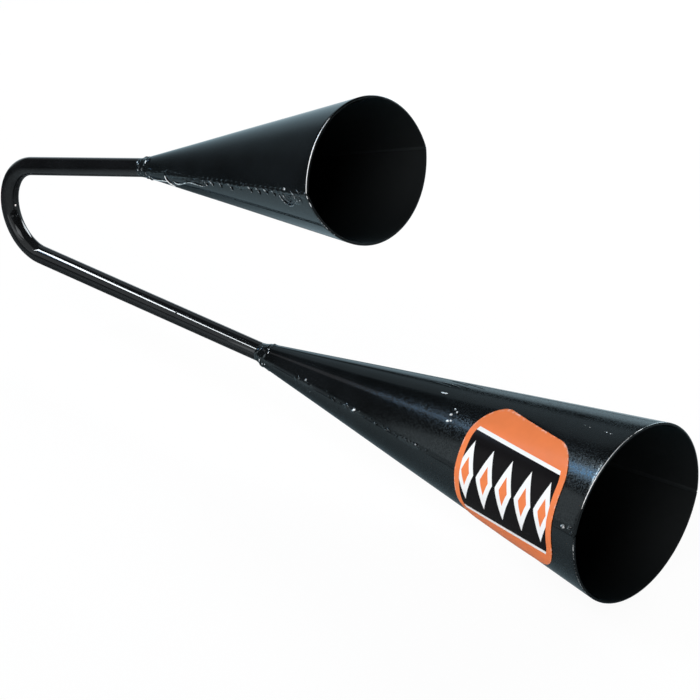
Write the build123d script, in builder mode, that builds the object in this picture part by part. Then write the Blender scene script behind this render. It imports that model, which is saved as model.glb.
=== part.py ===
from build123d import *
import os
from collections import namedtuple
from math import cos, hypot, radians, sin, sqrt

# Agogo bell: a high and a low bell, each of two rolled half shells, welded to the two arms of one bent rod.
# The long arm lies on the X axis with its middle at the origin. The mouths face +X, the handle's plane is XZ
# and the small bell is above. Millimetres and degrees.

# Handle, one round rod bent into a U
ROD_DIAMETER = 9.525
BEND_RADIUS = 24.75
ARM_SPREAD = 16.4
SMALL_ARM_LENGTH = 96.5
LARGE_ARM_LENGTH = 166.0
ROD_INSERTION = 22.0
ROD_END_CHAMFER = 0.8

# Sheet of both bells
SHEET_THICKNESS = 1.2
THROAT_CLEARANCE = 0.1
SEAM_GAP = 1.0

# Small bell, outside sizes: the width runs from seam to seam
SMALL_BELL_LENGTH = 149.5
SMALL_MOUTH_WIDTH = 83.2
SMALL_MOUTH_HEIGHT = 69.4

# Large bell, which leans towards the small one and sits a little turned about its own axis
LARGE_BELL_LENGTH = 230.0
LARGE_MOUTH_WIDTH = 92.0
LARGE_MOUTH_HEIGHT = 86.0
LARGE_BELL_LEAN = 0.8
LARGE_BELL_TURN = 7.7

# Welds: the small bell's seams are left as laid, the large bell's are dressed down
SEAM_BEAD_WIDTH = 3.6
SMALL_SEAM_CROWN = 0.6
LARGE_SEAM_CROWN = 0.2
NECK_BEAD_LENGTH = 11.0
NECK_BEAD_OVERLAP = 2.0
NECK_BEAD_CROWN = 1.4
NECK_BEAD_EDGE = 0.3

# Label, wrapped over the large bell's near seam
LABEL_LENGTH = 66.0
LABEL_HEIGHT = 58.0
LABEL_CORNER_RADIUS = 15.0
LABEL_THICKNESS = 0.3
LABEL_GLUE = 0.05
LABEL_TO_MOUTH = 48.0
LABEL_TURN = 3.0

# Spare length that a cutting or trimmed solid has past the piece that it shapes
OVERRUN = 5.0

rod_radius = ROD_DIAMETER / 2
throat_radius = rod_radius + THROAT_CLEARANCE
neck_radius = throat_radius + SHEET_THICKNESS

Bell = namedtuple("Bell", "name plane length half_width half_height seam_crown")


def bell_sizes(bell, station, layer=0.0):
    """Half width and half height of a bell's section at a station, on a surface `layer` outside the sheet."""
    share = station / bell.length
    half_width = neck_radius + (bell.half_width - neck_radius) * share
    half_height = neck_radius + (bell.half_height - neck_radius) * share
    arc_radius = (half_width**2 + half_height**2) / (2 * half_height)
    centre = half_height - arc_radius
    return sqrt((arc_radius + layer) ** 2 - centre**2), half_height + layer


def half_section(bell, station, side, layer=0.0):
    """Half of the lens that a bell's section is: an arc from seam to seam, closed by its chord."""
    half_width, half_height = bell_sizes(bell, station, layer)
    with BuildSketch(bell.plane.offset(station)) as section:
        with BuildLine():
            ThreePointArc((-half_width, 0), (0, side * half_height), (half_width, 0))
            Line((half_width, 0), (-half_width, 0))
        make_face()
    return section.sketch


def bell_blank(bell, side, layer=0.0):
    """Sections at both ends of a bell's half cone, which runs past the mouth until it is trimmed."""
    return [half_section(bell, station, side, layer) for station in (0, bell.length + OVERRUN)]


def bead_section(bell, station, side):
    """Oval section of a seam bead, centred in the sheet where the two halves meet."""
    half_width, _ = bell_sizes(bell, station)
    with BuildSketch(bell.plane.offset(station)) as section:
        with Locations((side * (half_width - SHEET_THICKNESS / 2), 0)):
            Ellipse(SHEET_THICKNESS / 2 + bell.seam_crown, SEAM_BEAD_WIDTH / 2)
    return section.sketch


def rim_trim(bell):
    """Centre and radius of the ball that trims a mouth: the blank's edge is an arc about the cone's tip."""
    tip = -neck_radius * bell.length / (bell.half_height - neck_radius)
    return bell.plane.offset(tip), hypot(bell.length - tip, bell.half_height)


def make_half_shell(bell, side):
    """Rolled half of a bell, +1 above the seams and -1 below, stopping half a gap short of them."""
    rim_plane, rim_radius = rim_trim(bell)
    seam_edge = Plane(
        origin=bell.plane.origin + bell.plane.y_dir * side * SEAM_GAP / 2,
        z_dir=bell.plane.y_dir * side,
    )
    with BuildPart() as shell:
        loft(bell_blank(bell, side), ruled=True)
        loft(bell_blank(bell, side, -SHEET_THICKNESS), ruled=True, mode=Mode.SUBTRACT)
        with Locations(rim_plane):
            Sphere(rim_radius, mode=Mode.INTERSECT)
        split(bisect_by=seam_edge, keep=Keep.TOP)
    return shell


def make_seam_weld(bell, side, shells):
    """Bead that fills the gap between the halves, +1 on the far side and -1 on the near side."""
    rim_plane, rim_radius = rim_trim(bell)
    with BuildPart() as weld:
        loft([bead_section(bell, 0, side), bead_section(bell, bell.length + OVERRUN, side)], ruled=True)
        with Locations(rim_plane):
            Sphere(rim_radius, mode=Mode.INTERSECT)
        for shell in shells:
            add(shell.part, mode=Mode.SUBTRACT)
        add(handle_rod.part, mode=Mode.SUBTRACT)
    return weld


def make_neck_weld(bell, neighbours):
    """Ring of weld that ramps from the rod up on to a bell's narrow end and ends there in a low step."""
    landing, _ = bell_sizes(bell, NECK_BEAD_OVERLAP)
    sheet_middle = throat_radius + SHEET_THICKNESS / 2
    core = rod_radius / 2
    ring_plane = Plane(origin=bell.plane.origin, x_dir=bell.plane.z_dir, z_dir=-bell.plane.y_dir)
    with BuildPart() as weld:
        with BuildSketch(ring_plane):
            with BuildLine():
                ramp = ThreePointArc(
                    (-NECK_BEAD_LENGTH, rod_radius + NECK_BEAD_EDGE),
                    (-NECK_BEAD_LENGTH / 2, rod_radius + NECK_BEAD_CROWN),
                    (NECK_BEAD_OVERLAP, landing + NECK_BEAD_EDGE),
                )
                Polyline(
                    ramp @ 1,
                    (NECK_BEAD_OVERLAP, sheet_middle),
                    (0, sheet_middle),
                    (0, core),
                    (-NECK_BEAD_LENGTH, core),
                    ramp @ 0,
                )
            make_face()
        revolve(axis=Axis(bell.plane.origin, bell.plane.z_dir))
        for neighbour in neighbours:
            add(neighbour.part, mode=Mode.SUBTRACT)
    return weld


# Handle path: along the long arm, round the bend and out along the short arm
spread = radians(ARM_SPREAD)
large_neck = Vector(LARGE_ARM_LENGTH / 2, 0, 0)
bend_start = Vector(-LARGE_ARM_LENGTH / 2, 0, 0)
bend_centre = bend_start + Vector(0, 0, BEND_RADIUS)
small_direction = Vector(cos(spread), 0, sin(spread))
small_normal = Vector(-sin(spread), 0, cos(spread))
bend_end = bend_centre + small_normal * BEND_RADIUS
bend_middle = bend_centre + Vector(-cos(spread / 2), 0, -sin(spread / 2)) * BEND_RADIUS
small_neck = bend_end + small_direction * SMALL_ARM_LENGTH

with BuildPart() as handle_rod:
    with BuildLine():
        Line(large_neck + Vector(ROD_INSERTION, 0, 0), bend_start)
        ThreePointArc(bend_start, bend_middle, bend_end)
        Line(bend_end, small_neck + small_direction * ROD_INSERTION)
    with BuildSketch(Plane(origin=large_neck + Vector(ROD_INSERTION, 0, 0), z_dir=(-1, 0, 0))):
        Circle(rod_radius)
    sweep()
    chamfer(handle_rod.faces().filter_by(GeomType.PLANE).edges(), ROD_END_CHAMFER)

lean = radians(LARGE_BELL_LEAN)
turn = radians(LARGE_BELL_TURN)
large_direction = Vector(cos(lean), 0, sin(lean))
large_far_seam = Vector(sin(turn) * sin(lean), cos(turn), -sin(turn) * cos(lean))
small_bell = Bell(
    "small_bell",
    Plane(origin=small_neck, x_dir=(0, 1, 0), z_dir=small_direction),
    SMALL_BELL_LENGTH,
    SMALL_MOUTH_WIDTH / 2,
    SMALL_MOUTH_HEIGHT / 2,
    SMALL_SEAM_CROWN,
)
large_bell = Bell(
    "large_bell",
    Plane(origin=large_neck, x_dir=large_far_seam, z_dir=large_direction),
    LARGE_BELL_LENGTH,
    LARGE_MOUTH_WIDTH / 2,
    LARGE_MOUTH_HEIGHT / 2,
    LARGE_SEAM_CROWN,
)

pieces = {"handle_rod": handle_rod}
for bell, outer_side in ((small_bell, 1), (large_bell, -1)):
    outer_shell = make_half_shell(bell, outer_side)
    inner_shell = make_half_shell(bell, -outer_side)
    near_weld = make_seam_weld(bell, -1, (outer_shell, inner_shell))
    far_weld = make_seam_weld(bell, 1, (outer_shell, inner_shell))
    neck_weld = make_neck_weld(bell, (handle_rod, outer_shell, inner_shell, near_weld, far_weld))
    pieces[f"{bell.name}_outer_shell"] = outer_shell
    pieces[f"{bell.name}_inner_shell"] = inner_shell
    pieces[f"{bell.name}_near_seam_weld"] = near_weld
    pieces[f"{bell.name}_far_seam_weld"] = far_weld
    pieces[f"{bell.name}_neck_weld"] = neck_weld

# Label: a skin over the sheet, cut to a rounded outline and thinned where it crosses the seam bead
label_angle = radians(LABEL_TURN)
label_plane = Plane(
    origin=large_bell.plane.offset(LARGE_BELL_LENGTH - LABEL_TO_MOUTH).origin,
    x_dir=large_direction,
    z_dir=large_bell.plane.y_dir * sin(label_angle) - large_far_seam * cos(label_angle),
)
with BuildPart() as bell_label:
    for layer, mode in ((LABEL_GLUE + LABEL_THICKNESS, Mode.ADD), (LABEL_GLUE, Mode.SUBTRACT)):
        for side in (1, -1):
            loft(bell_blank(large_bell, side, layer), ruled=True, mode=mode)
    with BuildSketch(label_plane):
        RectangleRounded(LABEL_LENGTH, LABEL_HEIGHT, LABEL_CORNER_RADIUS)
    extrude(amount=LARGE_MOUTH_WIDTH, mode=Mode.INTERSECT)
    add(pieces["large_bell_near_seam_weld"].part, mode=Mode.SUBTRACT)
pieces["bell_label"] = bell_label

os.makedirs("parts", exist_ok=True)
for name, piece in pieces.items():
    piece.part.label = name
    export_step(piece.part, f"parts/{name}.step")
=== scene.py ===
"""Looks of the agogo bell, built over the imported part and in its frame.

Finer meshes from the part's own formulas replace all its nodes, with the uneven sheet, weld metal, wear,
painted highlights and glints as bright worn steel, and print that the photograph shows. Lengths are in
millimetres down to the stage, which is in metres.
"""

from collections import namedtuple
from functools import partial
from math import cos, hypot, pi, radians, sin

import bmesh
import bpy
import numpy as np
from mathutils import Matrix, Quaternion, Vector


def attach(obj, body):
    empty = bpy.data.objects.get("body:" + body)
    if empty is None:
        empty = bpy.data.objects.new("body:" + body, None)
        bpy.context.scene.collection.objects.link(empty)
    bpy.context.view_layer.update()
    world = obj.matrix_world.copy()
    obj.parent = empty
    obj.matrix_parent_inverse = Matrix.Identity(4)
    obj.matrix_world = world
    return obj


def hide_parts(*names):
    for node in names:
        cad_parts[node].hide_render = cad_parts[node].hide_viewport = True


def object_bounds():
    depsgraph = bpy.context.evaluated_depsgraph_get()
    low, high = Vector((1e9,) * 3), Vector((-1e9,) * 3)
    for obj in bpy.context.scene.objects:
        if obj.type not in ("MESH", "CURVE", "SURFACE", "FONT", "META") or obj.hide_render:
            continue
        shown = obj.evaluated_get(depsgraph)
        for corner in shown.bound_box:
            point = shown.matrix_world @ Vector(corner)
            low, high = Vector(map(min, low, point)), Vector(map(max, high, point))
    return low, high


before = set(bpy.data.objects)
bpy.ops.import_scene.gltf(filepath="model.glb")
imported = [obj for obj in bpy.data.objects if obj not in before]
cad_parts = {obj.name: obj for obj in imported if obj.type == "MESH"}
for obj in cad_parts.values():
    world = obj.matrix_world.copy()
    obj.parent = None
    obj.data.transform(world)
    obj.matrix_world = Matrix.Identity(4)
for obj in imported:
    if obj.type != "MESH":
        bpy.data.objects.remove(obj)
cad_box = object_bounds()

# Sizes of the part's solids
MM = 0.001
ROD_RADIUS = 4.7625
BEND_RADIUS = 24.75
ARM_SPREAD = radians(16.4)
SMALL_ARM_LENGTH = 96.5
LARGE_ARM_LENGTH = 166.0
ROD_INSERTION = 22.0
ROD_END_CHAMFER = 0.8
SHEET = 1.2
THROAT_CLEARANCE = 0.1
NECK_RADIUS = ROD_RADIUS + THROAT_CLEARANCE + SHEET
SEAM_GAP = 1.0
SEAM_BEAD_WIDTH = 3.6
BLANK_OVERRUN = 5.0
SMALL_BELL_LENGTH = 149.5
SMALL_MOUTH = (83.2, 69.4)
LARGE_BELL_LENGTH = 230.0
LARGE_MOUTH = (92.0, 86.0)
LARGE_BELL_LEAN = radians(0.8)
LARGE_BELL_TURN = radians(7.7)
LABEL_LENGTH = 66.0
LABEL_HEIGHT = 58.0
LABEL_CORNER_RADIUS = 15.0
LABEL_THICKNESS = 0.3
LABEL_GLUE = 0.05
LABEL_TO_MOUTH = 48.0
LABEL_STATION = LARGE_BELL_LENGTH - LABEL_TO_MOUTH
LABEL_TURN = radians(3.0)

# Directions in the part's frame: along the long arm, away from the viewer, and up
ALONG, FAR, UP = np.eye(3)

# Fineness of the meshes, in counts and steps
ROD_SIDES = 64
ROD_STEP = 3.0
BEND_STEP = 0.8
SHELL_COLUMNS = 121
SHELL_ROW_STEP = 2.0
EDGE_ANGLES = np.radians([18, 36, 54, 72, 90])[:, None]
BEAD_SIDES = 28
BEAD_STEP = 0.45
DROP_SIDES = 28
DROP_RINGS_UNDER = 5
DROP_RINGS_OVER = 14
TRICKLE_SIDES = 18
TRICKLE_STEP = 0.35
TRICKLE_LEAST_RINGS = 6
NECK_SIDES = 180
NECK_RINGS = 60
LABEL_STEP = 0.8
LABEL_CORNER_ROWS = 20
LABEL_SWEEPS = 401
SEAM_HALVINGS = 40
SHARP_ANGLE = radians(40.0)

# Smooth noise: waves in an octave, and the range of their frequencies in it
WAVES = 7
WAVE_STRETCH = (0.6, 1.4)

# Meshes keep this far inside the solids, round the rod and at the mouths
INSET = 0.006

# Sheet: rounding of the mouth's edges; depth of its waves, their scales along and round, and how they fade
RIM_ROUND_OUTSIDE = 0.5
RIM_ROUND_INSIDE = 0.12
DENT_DEPTH = 0.16
DENT_LENGTH = 24.0
DENT_SWEEP = 4.5
DENT_OCTAVES = ((1.0, 0.7), (2.3, 0.3))
DENT_START = 18.0
DENT_FADE = 30.0
DENT_SEAM_POWER = 8

# Wear of the mouth's edge all round it, and the share over its rounding, from the outside to the cut face, of
# that wear and of the painted highlight
RIM_WORN_ALL_ROUND = 0.25
RIM_WEAR_AND_HIGHLIGHT = np.array([0.9, 1.0, 0.8, 0.2, 0.0])

# Painted highlight in bright steel on each rim by half (1 above the seams, -1 below): sweep, reach, strength
SMALL_RIM_HIGHLIGHT = {
    1: ((-0.9, 0.12, 0.7), (-0.66, 0.2, 0.8), (-0.42, 0.1, 0.5)),
    -1: ((-0.985, 0.015, 0.7), (-0.92, 0.02, 0.7), (-0.68, 0.16, 0.25)),
}
LARGE_RIM_HIGHLIGHT = {
    1: ((-0.13, 0.04, 0.6), (-0.26, 0.07, 0.4), (-0.4, 0.09, 0.75), (-0.58, 0.11, 0.9), (-0.74, 0.1, 0.45)),
    -1: ((-0.9, 0.08, 0.3), (-0.6, 0.2, 0.26)),
}

# Seam beads: ends at the rim, inner rise, power of the crown, cosine where the inner side starts, grooves
BEAD_TO_RIM = 0.25
BEAD_TAPER = 1.2
BEAD_INNER_RISE = 0.25
BEAD_CROWN_POWER = 0.7
BEAD_INNER_SIDE = 0.2
DEEPEST_GROOVE = 0.42
GRIMY_GROOVE = 0.1

# Unevenness of the beads: lag of ripples at their edges in stitches, scales of the noise along and across
RIPPLE_LAG = 0.35
ROUGH_SCALE = (1.3, 3.0)
ROUGH_OCTAVES = ((1.0, 0.7), (2.6, 0.5))
BODY_SCALE = 0.21

# Shares of mean, slow body, ripple and rough noise in a bead's crown and width, and in a tack's
CROWN_MIX = (0.8, 0.4, 0.1, 0.3)
WIDTH_MIX = (0.8, 0.15, 0.1, 0.0)
TACK_RISE_MIX = (0.8, 0.0, 0.3, 0.25)
TACK_WIDTH_MIX = (1.0, 0.0, 0.0, 0.15)

# Drops and trickles: depth in the sheet, rings' shares of the reach, lobes as count and size, thin ends
DROP_SINK = 0.4
DROP_CORE = 0.06
DROP_SHOULDER = 0.985
DROP_LOBES = ((2, 0.09), (3, 0.06))
DROP_RIPPLES = 3
TRICKLE_BLUNTNESS = 4
THINNEST = 0.02

# Metal along a seam. A tack is station, half length, rise, extra half width and shift up. A drop is station,
# offset up, half length, half width, height, lean in degrees, wear that paints a glint on it and, if it has
# them, rings. A trickle is a path of stations and offsets up, half width, height and wear of its crest, which
# paints a highlight along it
SeamMetal = namedtuple("SeamMetal", "tacks drops trickles")

# Hooked ends of stitches on the small bell, each a little different
HOOK_STATIONS = (63, 71, 80.2, 89, 98.2, 105.5, 112.5, 119)
HOOK_PATH = ((-1.8, -0.1), (0.3, -1.2), (0.9, -2.9))
HOOK_CHANGE = 0.5
HOOK_SIZE = (0.55, 0.6, 0.5)


def make_hook(number, at):
    """Trickle from the bead's edge down to a tip that differs by number."""
    path = np.add(HOOK_PATH, (at, 0))
    path[-1] -= HOOK_CHANGE * (number % 2), HOOK_CHANGE * (number % 3)
    return (path, *HOOK_SIZE)


SMALL_NEAR = SeamMetal(
    tacks=(
        (4, 4, 0.3, 0.5, 0), (22, 3.2, 0.3, 0.6, 0.2), (57, 3, 0.2, 0.4, -0.3),
        (91, 3.2, 0.2, 0.4, -0.4),
    ),
    drops=(
        (22.8, 0.2, 0.7, 0.6, 0.9, 10, 0.8), (130.2, 1.3, 0.65, 0.55, 0.9, 0, 0.8),
        (133.5, -2.2, 8, 4.6, 0.6, -8, 0, 0.3), (144, -0.6, 3, 1.5, 0.6, -12, 0, 0.1),
        (44, -1.2, 4, 1.3, 0.5, -10, 0, 0.12), (36, -1.4, 3.4, 1.2, 0.5, -14, 0, 0.12),
        (52, -1.4, 3, 1.1, 0.5, -18, 0, 0.12),
    ),
    trickles=(
        (((18.6, -0.6), (18.7, -2.6), (19.9, -5.2), (22.8, -7.6)), 0.6, 0.8, 0.9),
        (((23.8, -3), (27.5, -4.9), (37, -3.4), (46.5, -3.1), (56, -3.4)), 0.55, 0.6, 0.56),
        (((25.4, -4.2), (28.2, -4.9), (31.5, -4.5)), 0.55, 0.75, 0.8),
        (((2.4, -3.4), (5, -4.5), (9.5, -4.7), (17.5, -4.8)), 0.55, 0.6, 0.75),
        (((55.2, -0.2), (57, -1.2), (58.5, -3.4)), 0.5, 0.7, 0.5),
        (((126.8, 0.9), (124.4, -3), (126.8, -6.4), (132.6, -6.9), (141.4, -4)), 0.55, 0.6, 0.45),
        (((129.4, 2), (127.8, -0.8), (129.2, -3.8), (134, -4.8)), 0.5, 0.8, 0.47),
        (((139.8, 2), (142, 0.4), (141.6, -1.8)), 0.5, 0.7, 0.5),
        (((134.8, 0.9), (137.6, -1.4), (137, -3.4)), 0.5, 0.8, 0.5),
        *(make_hook(number, at) for number, at in enumerate(HOOK_STATIONS)),
    ),
)
SMALL_FAR = SeamMetal(
    tacks=(
        (5, 4, 0.4, 0.5, 0), (31, 3.2, 0.4, 1, 0.3), (66, 3, 0.3, 0.7, 0),
        (101, 3.2, 0.4, 0.9, -0.2),
    ),
    drops=(
        (48, -0.8, 4.2, 1.5, 0.5, 14, 0, 0.12), (84, 0.6, 4.4, 1.5, 0.5, -12, 0, 0.12),
        (133, -1, 7.5, 4, 0.9, 8, 0, 0.25),
    ),
    trickles=(
        (((20, -0.4), (21, -2.6), (24, -4.6)), 0.75, 0.7, 0.5),
        (((112, 0.3), (115, 1.9), (119, 2.4)), 0.75, 0.7, 0.5),
    ),
)

# Crumbs of metal in a row along the large bell's near seam. The stray from an even pitch, and each size of a
# drop from offset up to lean, is a mean, a swing and the swing's rate over the row
CRUMB_COUNT = 26
CRUMB_START = 55.0
CRUMB_PITCH = 2.9
CRUMB_STRAY = (0, 0.9, 2.3)
CRUMB_SIZES = ((0.5, 0.7, 4.1), (1, 0.45, 1.7), (0.55, 0.2, 3.3), (0.5, 0.2, 2.9), (0, 25, 5))
# Wear that paints a glint on every few crumbs
CRUMB_GLINT = 0.36
CRUMBS_TO_A_GLINTING_ONE = 4


def make_crumb(number):
    """Small drop whose sizes swing with its number in the row. Every few crumbs one has a painted glint."""
    swings = (CRUMB_STRAY, *CRUMB_SIZES)
    stray, *sizes = (mean + swing * sin(rate * number) for mean, swing, rate in swings)
    highlight_wear = (number + 1) % CRUMBS_TO_A_GLINTING_ONE == 0
    return (CRUMB_START + CRUMB_PITCH * number + stray, *sizes, CRUMB_GLINT if highlight_wear else 0)


LARGE_NEAR = SeamMetal(
    tacks=(
        (30, 1.2, 0.4, 0.2, 0), (69, 1.5, 0.5, 0.3, 0.3), (74.5, 1.5, 0.5, 0.3, 0.3),
        (97, 2, 0.4, 0.3, 0),
    ),
    drops=(
        (36.8, 2, 0.8, 0.6, 0.5, 20, 0.5), (69.8, 1, 0.8, 0.6, 0.7, 0, 0.36),
        (74.5, 0.7, 1.5, 0.6, 0.8, 30, 0.7), (120.8, 1.2, 0.9, 0.6, 0.8, 0, 0.42),
        (222, 1.8, 1.2, 0.9, 1.1, 0, 0.5), (225.8, 2.8, 1.1, 0.8, 1.1, 0, 0.5),
        (227.6, 0.9, 1.1, 0.8, 0.6, 20, 0), (86, -2.6, 0.6, 0.4, 0.3, 0, 0),
        (53.2, 2.4, 0.6, 0.4, 0.4, 0, 0.3), (40.5, -3, 0.6, 0.5, 0.4, 0, 0.4),
        (62.5, -3, 0.6, 0.5, 0.35, 0, 0), (134.2, 24.8, 0.6, 0.5, 0.4, 0, 0.6),
        (136.2, 23.8, 0.55, 0.5, 0.4, 0, 0.55), (134, 21.5, 0.8, 0.6, 0.45, 40, 0.75),
        (134.2, 18.1, 0.9, 0.65, 0.5, 30, 0.8), (135.9, 18.9, 0.7, 0.5, 0.4, 30, 0.7),
        (204, 48.8, 0.8, 0.3, 0.15, 5, 0.46), (207, 49, 0.6, 0.3, 0.15, 5, 0.4),
        (217, 50.4, 0.8, 0.3, 0.15, 5, 0.46), (220, 50.6, 0.6, 0.3, 0.15, 5, 0.4),
        *(make_crumb(number) for number in range(CRUMB_COUNT)),
    ),
    trickles=(
        (((118.6, 29.4), (120.6, 29.8), (122.8, 30.4)), 0.45, 0.2, 1),
        (((109, 34), (114, 34.8), (120, 35.4)), 0.3, 0.15, 0.3),
        (((112, 36.6), (118, 37.4), (125, 37.8)), 0.3, 0.15, 0.42),
        (((118, 39), (124, 39.6), (131, 40.2)), 0.3, 0.15, 0.45),
        (((114, 41.6), (119, 42.2), (126, 42.4)), 0.3, 0.15, 0.3),
        (((122, 44), (128, 44.5), (136, 44.8)), 0.3, 0.15, 0.4),
    ),
)
LARGE_FAR = SeamMetal(
    tacks=(
        (26, 2, 0.4, 0.3, 0), (58, 2, 0.4, 0.3, 0), (97, 3, 0.5, 0.4, 0),
        (140, 2, 0.4, 0.3, 0), (183, 3, 0.5, 0.4, 0),
    ),
    drops=(
        (70, 0.2, 1.2, 0.8, 0.5, 20, 0), (151, -0.3, 1, 0.8, 0.5, 0, 0),
        (222, 0, 1.3, 1, 0.7, 0, 0),
    ),
    trickles=(),
)

# Neck welds: crown, climb from the rod to the sheet, and depth of their feet and core
NECK_CROWN = 0.12
NECK_CLIMB_END = 0.5
NECK_CLIMB_POWER = 1.3
NECK_FOOT = 0.05
NECK_CORE = 0.3

# Random lumps on the neck welds: count, distance from the ends, and ranges of reach along in mm and round in
# radians, lean in mm per radian, and height. Where they are higher than the limit, wear paints glints on them
NECK_LUMPS = 46
LUMP_MARGIN = 0.8
LUMP_RANGES = ((0.4, 0.9), (0.1, 0.35), (-2.5, 2.5), (0.15, 0.45))
LUMP_GLINT_LIMIT = 0.38

# Lumps on the neck welds with painted glints: station, degrees from the far seam, reaches in mm and radians,
# height, and the wear that paints the glint
SMALL_NECK_GLINTS = (
    (-8.5, 131, 0.6, 0.13, 0.45, 1.0), (-0.9, 138, 0.7, 0.17, 0.4, 1.0),
    (-1.9, 152, 0.5, 0.12, 0.35, 0.6), (-6.2, 163, 0.5, 0.25, 0.3, 0.5),
    (-5.2, 192, 0.5, 0.3, 0.3, 0.5), (-2.2, 221, 0.8, 0.2, 0.3, 0.6),
    (-8.2, 206, 0.5, 0.3, 0.4, 0.6), (3.2, 186, 0.5, 0.25, 0.3, 0.5),
    (-7.4, 145, 0.5, 0.2, 0.4, 0.5), (-7.0, 178, 0.4, 0.2, 0.4, 0.6),
    (-3.6, 174, 0.5, 0.2, 0.45, 0.55), (-0.4, 196, 0.5, 0.2, 0.45, 0.6),
    (-3.4, 206, 0.5, 0.16, 0.4, 0.6), (1.0, 210, 0.6, 0.16, 0.4, 0.7),
)
LARGE_NECK_GLINTS = (
    (3.5, 127, 0.35, 0.06, 0.35, 1.0), (4.6, 143, 0.3, 0.06, 0.35, 1.0),
    (3.9, 198, 0.5, 0.1, 0.3, 0.7),
)

# Drops of paint on the rod: past the bend's start and round from its inner side, halves, height, lean, and
# wear that paints a glint
ROD_DROPS = (
    ((29.4, -3.0), (1.0, 0.7), 0.5, 20, 0.0),
    ((28.9, -0.8), (0.9, 0.6), 0.45, 40, 0.0),
    ((35.8, -0.4), (0.8, 0.5), 0.4, 0, 0.6),
    ((-104.3, -3.9), (0.5, 0.5), 0.3, 0, 0.0),
)

# Paints. Roughness and peel strength are pairs: plain, and where the mesh's grain is 1. Peel scale is in
# features per metre, and peel depth in metres
Paint = namedtuple("Paint", "slot tone faded roughness peel_scale peel_strength peel_depth ior coat_tint")
HANDLE_PAINT = Paint(
    slot="handle_paint",
    tone=(0.004, 0.004, 0.0043, 1),
    faded=(0.007, 0.007, 0.0074, 1),
    roughness=(0.05, 0.05),
    peel_scale=200.0,
    peel_strength=(0.03, 0.03),
    peel_depth=0.0001,
    ior=1.36,
    coat_tint=(0.92, 0.97, 1.0, 1),
)
WELD_PAINT = Paint(
    slot="weld_paint",
    tone=(0.0045, 0.0043, 0.0043, 1),
    faded=(0.008, 0.0078, 0.008, 1),
    roughness=(0.08, 0.08),
    peel_scale=900.0,
    peel_strength=(0.2, 0.2),
    peel_depth=0.0001,
    ior=1.4,
    coat_tint=(0.82, 0.945, 1.0, 1),
)
BELL_PAINT = WELD_PAINT._replace(
    slot="bell_paint",
    roughness=(0.07, 0.08),
    peel_scale=1000.0,
    peel_strength=(0.03, 0.3),
    peel_depth=0.00008,
    ior=1.28,
)
# Bright bare steel: real wear, and painted highlights and glints on rims, drops, trickles and neck lumps
WORN_STEEL_AND_HIGHLIGHT = (1.0, 0.86, 0.81, 1)
WORN_AND_HIGHLIGHT_METALLIC = 0.5
WORN_AND_HIGHLIGHT_ROUGHNESS = 0.4
INSIDE_TONE = (0.008, 0.0073, 0.007, 1)
INSIDE_ROUGHNESS = 0.7
COAT_IOR = 1.05

# Noise in the paints: features per metre, detail, roughness
CLOUD_NOISE = (28.0, 4.0, 0.6)
DUST_NOISE = (240.0, 6.0, 0.7)
SCUFF_NOISE = (900.0, 5.0, 0.7)
SPECKLE_NOISE = (1200.0, 1.0, 0.5)
FINE_PEEL_NOISE = (1500.0, 3.0, 0.6)

# What the noise does: the range of it that counts, then the values at that range's ends if not 0 and 1
CLOUD_FADED = (0.35, 0.7)
CLOUD_ROUGHNESS = (0.25, 0.75, 0.85, 1.2)
DUST = (0.62, 0.8, 0.0, 0.35)
DUST_PALENESS = 4
DUST_ROUGHNESS = 0.25
SCUFF_MIDDLE = 0.5
SCUFF_STRENGTH = 1.1
WEAR_AND_HIGHLIGHT_RANGE = (0.42, 0.62)
SPECKLE_ROUGHNESS = (0.44, 0.56, 0.0, 0.2)
SPECKLE_GRAIN = (0.2, 0.6)
FINE_PEEL_SHARE = 0.25

# Label print: inks, the band of lozenges and its lines, and the shares of a lozenge that are filled and edged
LABEL_ORANGE = (0.806, 0.216, 0.074, 1)
LABEL_BLACK = (0.007, 0.0065, 0.007, 1)
LABEL_WHITE = (0.83, 0.83, 0.82, 1)
LABEL_BORDER = 3.4
BAND_HALF_HEIGHT = 19.0
BAND_LINE = 1.6
LOZENGE_PITCH = 13.0
LOZENGE_HALF_HEIGHT = 16.5
LOZENGE_FILLED = 0.42
LOZENGE_EDGED = 0.86

# Label surface: faded ink, scuffed edge, gloss, and the peel's strength and depth in metres
INK_NOISE = (60.0, 4.0, 0.6)
INK_RANGE = (0.3, 0.7)
INK_FADED = 0.93
LABEL_WORN_EDGE = 0.9
LABEL_SCUFF_NOISE = (600.0, 4.0, 0.6)
LABEL_SCUFF = (0.5, 0.62, 0.0, 0.35)
LABEL_ROUGHNESS = (0.15, 0.22)
LABEL_IOR = 1.1
LABEL_PEEL_NOISE = (350.0, 3.0, 0.5)
LABEL_PEEL = (0.15, 0.0002)


def smooth_noise(u, v, seed, octaves=((1.0, 1.0),)):
    """Seeded smooth field of about -1 to 1 over two coordinates, as a sum of waves in random directions.

    An octave is a frequency and a weight.
    """
    rng = np.random.default_rng(seed)
    total = np.zeros(np.broadcast(u, v).shape)
    for frequency, weight in octaves:
        for _ in range(WAVES):
            heading, phase = rng.uniform(0, 2 * np.pi, 2)
            stretch = rng.uniform(*WAVE_STRETCH) * frequency
            wave = np.sin(stretch * (np.cos(heading) * u + np.sin(heading) * v) + phase)
            total += weight * wave / WAVES**0.5
    return total


def bump(distance, reach):
    """1 at distance 0, falling smoothly to 0 over about two reaches."""
    return np.exp(-((distance / reach) ** 2))


def round_turns(count):
    """Evenly spaced angles round a full turn."""
    return np.linspace(0, 2 * np.pi, count, endpoint=False)


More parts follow.
